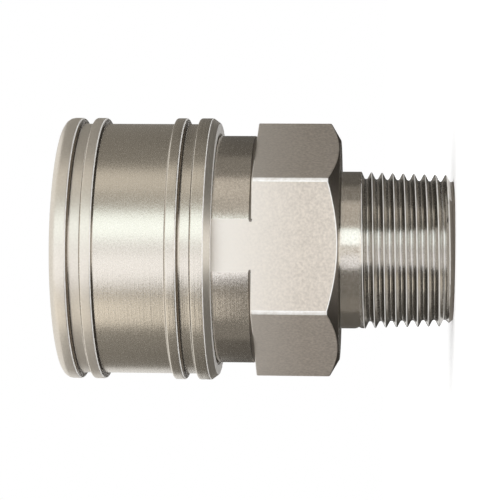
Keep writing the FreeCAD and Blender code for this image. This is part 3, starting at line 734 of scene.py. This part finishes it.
# %% Thread rows
def wind_thread(shape):
    """Helical rows from below the end face to above the neck, held at the two ends and joined by faces."""
    form, columns = form_points(), []
    for segment in range(SEGMENTS + 1):
        part_turn = segment / SEGMENTS
        bearing = math.tau * part_turn
        column = []
        for turn in range(-TURNS_BELOW, TURNS_ABOVE):
            turns = turn + part_turn - NEAR_SIDE
            for along, depth in form:
                climb = LAST_ROOT + turns * PITCH + along - PITCH / 2
                height = min(WOUND_LENGTH, max(0.0, climb))
                radius = thread_radius(height, depth, turns)
                spot = Vector((radius * math.cos(bearing), radius * math.sin(bearing), height))
                column.append(shape.verts.new(spot * MM))
        columns.append(column)
    for near, far in zip(columns, columns[1:]):
        for row in range(len(near) - 1):
            face = shape.faces.new((near[row], far[row], far[row + 1], near[row + 1]))
            face.material_index = PAINTED_HIGHLIGHT if row % len(form) in CREST_ROWS else RAGGED
            if near[row + 1].co.z >= THREAD_LENGTH * MM:
                face.material_index = CLEAN_CUT


def drop_plain_cone(shape):
    """Takes out the plain cone that stood in for the thread."""
    plain = []
    for face in shape.faces:
        heights = [vert.co.z / MM for vert in face.verts]
        outside = face.calc_center_median().xy.length / MM > FLOW + 1
        if outside and min(heights) < SLACK and max(heights) > WOUND_LENGTH - SLACK:
            plain.append(face)
    bmesh.ops.delete(shape, geom=plain, context="FACES")
    return len(plain)


WELD, SLIVER = 0.002 * MM, 0.0005 * MM
print("plain cone:", drop_plain_cone(body_shape), "faces out")
wind_thread(body_shape)
bmesh.ops.remove_doubles(body_shape, verts=body_shape.verts, dist=WELD)
bmesh.ops.dissolve_degenerate(body_shape, edges=body_shape.edges, dist=SLIVER)
bmesh.ops.recalc_face_normals(body_shape, faces=body_shape.faces)
print("open edges left:", sum(edge.is_boundary for edge in body_shape.edges))

# %% [markdown]
# ## The body's finishes
# The upper rim and the short flats' arcs keep the look of the bar's skin, without a painted highlight. The
# lower chamfer, the relief groove and the thread's end chamfer get painted shade, and the neck and the guide
# are cut clean. The faces are picked by tests again, because the boolean has left no other trace of which
# cut made them.

# %% Body finishes
# What counts as the lower part of the hexagon, and how square to the camera's side a flat's normal stands.
HEX_LOWER, SQUARE = GUIDE_FOOT - 5, 0.9999


def painted_shade_face(normal, radius, height):
    """The hexagon's lower chamfer, the relief groove at the guide's foot and the thread's end chamfer, which
    get painted shade.
    """
    lower = -0.98 < normal.z < -0.4 and radius > NECK + 1 and HEX_FOOT - 0.1 < height < HEX_LOWER
    relief = abs(radius - RELIEF) < 0.09 and GUIDE_FOOT < height < RELIEF_TOP + 0.1
    thread_end = radius > FLOW + 1 and height < 0.75
    return lower or thread_end or (relief and abs(normal.y) < SQUARE)


def smooth_wall(normal, radius, height):
    """The plain neck above the thread, and the guide."""
    guide = abs(radius - GUIDE) < 0.05 and RELIEF_TOP < height < SEAT and abs(normal.y) < SQUARE
    return guide or (abs(radius - NECK) < 0.2 and WOUND_LENGTH - 0.1 < height < HEX_FOOT)


def quiet_rim(normal, radius, height):
    """The upper rim and the arcs of the four short flats, which keep the flats' finish without a painted
    highlight.
    """
    upper = 0.1 < normal.z < 0.9 and GUIDE_FOOT - 0.5 < height < GUIDE_FOOT + SLACK
    short_arc = -0.5 < normal.z < -0.1 and abs(normal.y) < 0.7 and HEX_FOOT < height < HEX_LOWER
    return radius > FLAT - 0.3 and (upper or short_arc)


for finish, chosen in ((SKIN, quiet_rim), (PAINTED_SHADE, painted_shade_face), (CLEAN_CUT, smooth_wall)):
    count = refinish(body_shape, finish, chosen)
    print(chosen.__name__, "has", count, "faces of", BODY_FINISHES[finish].name)
finished("hexagon_body", body_shape, "socket", "socket_body", "satin_steel", *BODY_FINISHES)

# %% [markdown]
# ## The sleeve spring
# A coil of round wire pushes the sleeve forward onto the stop ring. Its end turns are closed so that they
# sit flat, and one open turn does the work. A curve with a bevel would make the wire, but the spring has
# to flatten as the sleeve is pulled, and that works on a mesh, so circles of points are set along the
# helix and joined.

# %% Spring wire
spring_low, spring_high = (corner / MM for corner in map(Vector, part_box("sleeve_spring")))
WIRE_RADIUS = 0.8
COIL = spring_high.x - WIRE_RADIUS
CLOSED_PITCH = 2 * WIRE_RADIUS + 0.1
COIL_TURNS = 3
COIL_STEPS, WIRE_STEPS = 96, 16


def coil_height(turns):
    """Height of the wire's centre after so many turns: slow in the closed turns, fast in the open one."""
    foot, top = spring_low.z + WIRE_RADIUS, spring_high.z - WIRE_RADIUS
    if turns <= 1:
        return foot + CLOSED_PITCH * turns
    if turns >= COIL_TURNS - 1:
        return top - CLOSED_PITCH * (COIL_TURNS - turns)
    open_rise = top - foot - 2 * CLOSED_PITCH
    return foot + CLOSED_PITCH + open_rise * (turns - 1) / (COIL_TURNS - 2)


def wound_wire():
    """The wire as rings of points along the helix, with a flat cap at each end."""
    shape = bmesh.new()
    rings = []
    for step in range(COIL_TURNS * COIL_STEPS + 1):
        bearing, level = math.tau * step / COIL_STEPS, coil_height(step / COIL_STEPS)
        ring = []
        for side in range(WIRE_STEPS):
            angle = math.tau * side / WIRE_STEPS
            radius, height = COIL + WIRE_RADIUS * math.cos(angle), level + WIRE_RADIUS * math.sin(angle)
            spot = Vector((radius * math.cos(bearing), radius * math.sin(bearing), height))
            ring.append(shape.verts.new(spot * MM))
        rings.append(ring)
    for near, far in zip(rings, rings[1:]):
        for side in range(WIRE_STEPS):
            shape.faces.new((near[side - 1], near[side], far[side], far[side - 1]))
    shape.faces.new(rings[0])
    shape.faces.new(rings[-1])
    bmesh.ops.recalc_face_normals(shape, faces=shape.faces)
    return shape


print("spring:", COIL_TURNS, "turns of wire", 2 * WIRE_RADIUS, "mm thick")

# %% Spring in its seats
spring = finished("sleeve_coil", wound_wire(), "socket", "sleeve_spring", "spring_steel", WIRE)
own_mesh(spring)

# %% [markdown]
# ## The stop ring
# An open ring of flat strip snaps into the groove near the nose. The sleeve's shoulder rests on it.
# Stamping leaves its edges slightly rounded, and the gap lets a tool spread it. A notch could be cut out
# of a whole ring, but a lathe that stops short of a full turn leaves the gap by itself.

# %% Stop ring
GAP, STRIP_ROUND, RING_SEAT = math.radians(16), 0.12, 0.7
RING_INNER = CARRIER - RING_SEAT
strip = [
    (RING_INNER, ring_low.z, STRIP_ROUND), (ring_high.x, ring_low.z, STRIP_ROUND),
    (ring_high.x, ring_high.z, STRIP_ROUND), (RING_INNER, ring_high.z, STRIP_ROUND),
]
ring_shape = spun(rounded(strip), math.tau - GAP)
ends = [edge for edge in ring_shape.edges if edge.is_boundary]
bmesh.ops.holes_fill(ring_shape, edges=ends, sides=0)
bmesh.ops.recalc_face_normals(ring_shape, faces=ring_shape.faces)
finished("open_stop_ring", ring_shape, "stop_ring", "stop_ring", "spring_steel", STRIP)

# %% [markdown]
# ## Balls and seal
# A ball is a ball and an O-ring is a torus. They could be drawn again as a sphere and a torus, but the
# frame's own solids already have the true shapes and smooth normals, so they only get their finishes.

# %% Balls and seal
for name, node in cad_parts.items():
    if name == "plug_seal" or name.startswith("locking_ball"):
        node.data.materials.clear()
        node.data.materials.append(RUBBER if name == "plug_seal" else BALL)
print("dressed", BALL_COUNT, "balls and the seal")

# %% [markdown]
# ## The studio
# Bare steel shows what stands round it. A photographer sets white panels and dark flags about the work
# until the bands on a cylinder read as metal, and the same is done here with curved cards. The angle of a
# card is counted round the axis from the camera's side, so a band on the barrel can be moved by turning
# one card. A wall mirrors what stands at about its own height: low cards work on the neck and the thread,
# high ones on the sleeve, and a dark card on the ground works on the faces that look down. Lamps alone
# could light the steel, but their bands are hard to place. The cards are hidden from the camera, because
# they stand between it and the object in some views.

# %% Floor and world
WHITE = srgb("ffffff")
FLOOR_HALF, FLOOR_GLOW = 40.0, 0.18


def white_world():
    """Even white light from everywhere, at the level where a colour renders as it is written."""
    world = bpy.data.worlds.new("white_studio")
    bpy.context.scene.world = world
    world.use_nodes = True
    sky = world.node_tree.nodes["Background"]
    sky.inputs["Color"].default_value = WHITE
    sky.inputs["Strength"].default_value = 1.0


def pale_floor():
    """A wide paper floor under the thread's end. A faint glow keeps the object's shadow on it soft."""
    shape = bmesh.new()
    bmesh.ops.create_grid(shape, x_segments=1, y_segments=1, size=FLOOR_HALF)
    mesh = bpy.data.meshes.new("studio_floor")
    shape.to_mesh(mesh)
    shape.free()
    floor = bpy.data.objects.new("studio_floor", mesh)
    bpy.context.scene.collection.objects.link(floor)
    # Matt paper scatters light evenly, so it shows no reflection.
    paper, _, shader = new_finish("matt_white_paper", {"Roughness": 1.0, "Base Color": WHITE})
    shader.inputs["Specular IOR Level"].default_value = 0.0
    shader.inputs["Emission Color"].default_value = WHITE
    shader.inputs["Emission Strength"].default_value = FLOOR_GLOW
    mesh.materials.append(paper)


white_world()
pale_floor()
bpy.context.scene.view_settings.view_transform = "Standard"
print("floor at height 0, world white")

# %% Cards
# Cool light from lit board and warm light from dark cloth give the steel its two tints.
PANEL, COOL_PANEL, FLAG = srgb("f6f8ff"), srgb("f0fbff"), srgb("fff9f0")
CARD_STEPS = 24
# Distances and heights of the cards, in metres.
FAR, FOOT_TOP, SPLIT, SIDE_TOP, UPPER_TOP, TOP = 0.45, 0.04, 0.08, 0.185, 0.3, 0.5
JUST_ABOVE, LAYER = 0.0005, 0.01
GROUND_FROM, GROUND_TO = 0.015, 0.35
WALL, HIGH_WALL = [(FAR, JUST_ABOVE), (FAR, TOP)], [(FAR, SPLIT), (FAR, TOP)]
LOW_WALL = [(FAR - LAYER, JUST_ABOVE), (FAR - LAYER, SPLIT)]
FOOT_WALL = [(FAR - 2 * LAYER, JUST_ABOVE), (FAR - 2 * LAYER, FOOT_TOP)]
SIDE_WALL = [(FAR, JUST_ABOVE), (FAR, SIDE_TOP)]
UPPER_WALL = [(FAR, JUST_ABOVE), (FAR, UPPER_TOP)]
FLOOR = [(GROUND_FROM, JUST_ABOVE), (GROUND_TO, JUST_ABOVE)]


def card(name, start, end, colour, level, profile):
    """A curved card between two bearings in degrees, counted from the camera's side towards +X."""
    shape = bmesh.new()
    rows = []
    for step in range(CARD_STEPS + 1):
        bearing = math.radians(start + (end - start) * step / CARD_STEPS)
        outward = Vector((math.sin(bearing), -math.cos(bearing), 0))
        spots = [outward * radius + Vector((0, 0, height)) for radius, height in profile]
        rows.append([shape.verts.new(spot) for spot in spots])
    for near, far in zip(rows, rows[1:]):
        for row in range(len(profile) - 1):
            shape.faces.new((near[row], far[row], far[row + 1], near[row + 1]))
    mesh = bpy.data.meshes.new(name)
    shape.to_mesh(mesh)
    shape.free()
    material = bpy.data.materials.new(name)
    material.use_nodes = True
    tree = material.node_tree
    glow = add_node(tree, "ShaderNodeEmission", {"Color": colour, "Strength": level})
    tree.links.new(glow.outputs[0], tree.nodes["Material Output"].inputs["Surface"])
    mesh.materials.append(material)
    panel = bpy.data.objects.new(name, mesh)
    bpy.context.scene.collection.objects.link(panel)
    panel.visible_camera = False
    panel.visible_diffuse = False
    panel.visible_shadow = False


print("cards stand", FAR, "m away")

# %% Cards in place
CARDS = (
    ("panel_upper", 6, 31, COOL_PANEL, 1.86, WALL),
    ("panel_middle", -7, 6, PANEL, 1.12, WALL),
    ("panel_lower", -37, -7, PANEL, 1.57, WALL),
    ("flag_upper_edge", 31, 50, FLAG, 0.44, HIGH_WALL),
    ("panel_upper_side", 50, 76, FLAG, 0.88, HIGH_WALL),
    ("flag_upper_low", 29, 73, FLAG, 0.63, LOW_WALL),
    ("flag_upper", 73, 180, FLAG, 0.27, UPPER_WALL),
    ("flag_lower_edge", -48, -37, FLAG, 0.66, HIGH_WALL),
    ("panel_lower_side", -75, -48, FLAG, 1.25, HIGH_WALL),
    ("flag_lower_low", -75, -28.5, FLAG, 0.2, LOW_WALL),
    ("flag_lower", -143, -75, FLAG, 0.26, SIDE_WALL),
    ("flag_back", 103, 257, FLAG, 0.13, LOW_WALL),
    ("flag_foot", -9, 5, FLAG, 0.7, FOOT_WALL),
    ("panel_foot", -28.5, -9, PANEL, 1.0, FOOT_WALL),
    ("flag_ground", 24, 338, FLAG, 0.07, FLOOR),
)
for values in CARDS:
    card(*values)
print("cards:", len(CARDS))

# %% Lamp
KEY_PLACE, KEY_SIZE, KEY_WATTS = (0.35, -0.6, 0.7), 0.5, 1.5


def soft_lamp(name, place, size, watts):
    """A square soft lamp aimed at the middle of the object, which gives its shadow a side."""
    data = bpy.data.lights.new(name, "AREA")
    data.size, data.energy = size, watts
    lamp = bpy.data.objects.new(name, data)
    bpy.context.scene.collection.objects.link(lamp)
    aim(lamp, Vector(place), AIM, Vector((0, 0, 1)))
    lamp.visible_camera = False
    lamp.visible_glossy = False
    print(name, "gives", watts, "W")


soft_lamp("key_lamp", KEY_PLACE, KEY_SIZE, KEY_WATTS)
